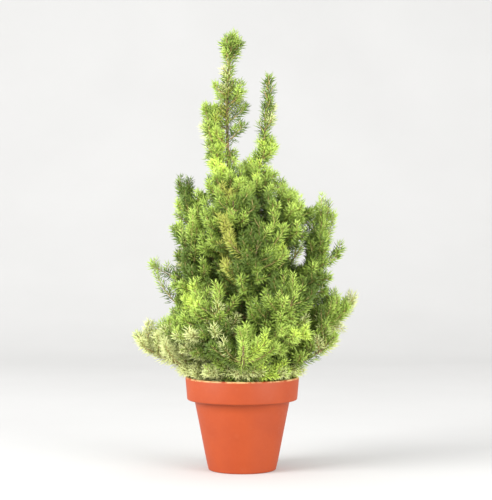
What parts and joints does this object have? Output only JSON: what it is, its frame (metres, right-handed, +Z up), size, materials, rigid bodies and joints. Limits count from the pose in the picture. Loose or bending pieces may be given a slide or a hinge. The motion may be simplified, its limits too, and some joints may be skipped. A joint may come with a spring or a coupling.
{
  "type": "potted dwarf alberta spruce",
  "caption": "Young dwarf alberta spruce with a dense cone of needle shoots, a leader, two side spires and a plain round terracotta pot with a banded rim.",
  "frame": {"origin": "middle of the pot's flat underside", "axes": "+Z up along the pot's axis, -Y towards the front that the picture shows, +X to the right of that view"},
  "size_m": [0.2401, 0.2143, 0.465],
  "materials": {
    "terracotta": "smooth fired terracotta, dull satin",
    "potting_mix": "moist crumbly potting mix, matt",
    "bark": "rough scaly young bark",
    "needles": "stiff slender needles, slightly waxy",
    "young_needles": "soft bright young needles, slightly waxy"
  },
  "bodies": {
    "root": {"pot": "terracotta", "soil": "potting_mix", "trunk": "bark", "high_1_bough": "bark", "high_1_needles": "needles", "high_2_bough": "bark", "high_2_needles": "needles", "high_3_bough": "bark", "high_3_needles": "needles", "high_4_bough": "bark", "high_4_needles": "needles", "high_5_bough": "bark", "high_5_needles": "needles", "leader_needles": "young_needles", "left_spire_bough": "bark", "left_spire_needles": "young_needles", "low_1_bough": "bark", "low_1_needles": "needles", "low_2_bough": "bark", "low_2_needles": "needles", "low_3_bough": "bark", "low_3_needles": "needles", "low_4_bough": "bark", "low_4_needles": "needles", "low_5_bough": "bark", "low_5_needles": "needles", "low_6_bough": "bark", "low_6_needles": "needles", "mid_1_bough": "bark", "mid_1_needles": "needles", "mid_2_bough": "bark", "mid_2_needles": "needles", "mid_3_bough": "bark", "mid_3_needles": "needles", "mid_4_bough": "bark", "mid_4_needles": "needles", "mid_5_bough": "bark", "mid_5_needles": "needles", "second_leader_bough": "bark", "second_leader_needles": "young_needles", "skirt_1_bough": "bark", "skirt_1_needles": "needles", "skirt_2_bough": "bark", "skirt_2_needles": "needles", "skirt_3_bough": "bark", "skirt_3_needles": "needles", "skirt_4_bough": "bark", "skirt_4_needles": "needles", "skirt_5_bough": "bark", "skirt_5_needles": "needles", "top_1_bough": "bark", "top_1_needles": "needles", "top_2_bough": "bark", "top_2_needles": "needles"}
  },
  "joints": []
}
